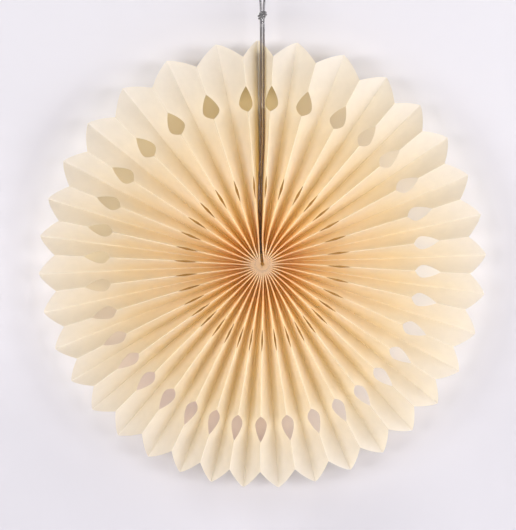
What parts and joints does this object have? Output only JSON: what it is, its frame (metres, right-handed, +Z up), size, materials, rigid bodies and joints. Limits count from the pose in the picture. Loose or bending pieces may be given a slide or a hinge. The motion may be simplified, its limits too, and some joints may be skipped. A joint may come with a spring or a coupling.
{
  "type": "paper fan rosette",
  "caption": "Round wall or ceiling decoration: a pleated paper strip opened into a full circle, with cut-outs along its ridges, hung on a knotted cord loop",
  "frame": {"origin": "the hang point: the point inside the top of the cord loop that bears on the hook or nail. The hub's centre is 0.200 m straight below it", "axes": "+Z up; the fan's plane is the XZ plane and its front, where the ridges point, faces -Y; +Y points to the wall behind it"},
  "size_m": [0.2998, 0.02, 0.3511],
  "materials": {
    "cream_paper": "matt cream paper",
    "white_tape": "satin white adhesive tape",
    "grey_cord": "silky grey braided cord"
  },
  "bodies": {
    "root": {"paper_fan": "cream_paper", "seam_tape": "white_tape", "cord_ring": "grey_cord", "cord_left": "grey_cord", "cord_right": "grey_cord", "cord_knot": "grey_cord", "cord_loop": "grey_cord"}
  },
  "joints": []
}
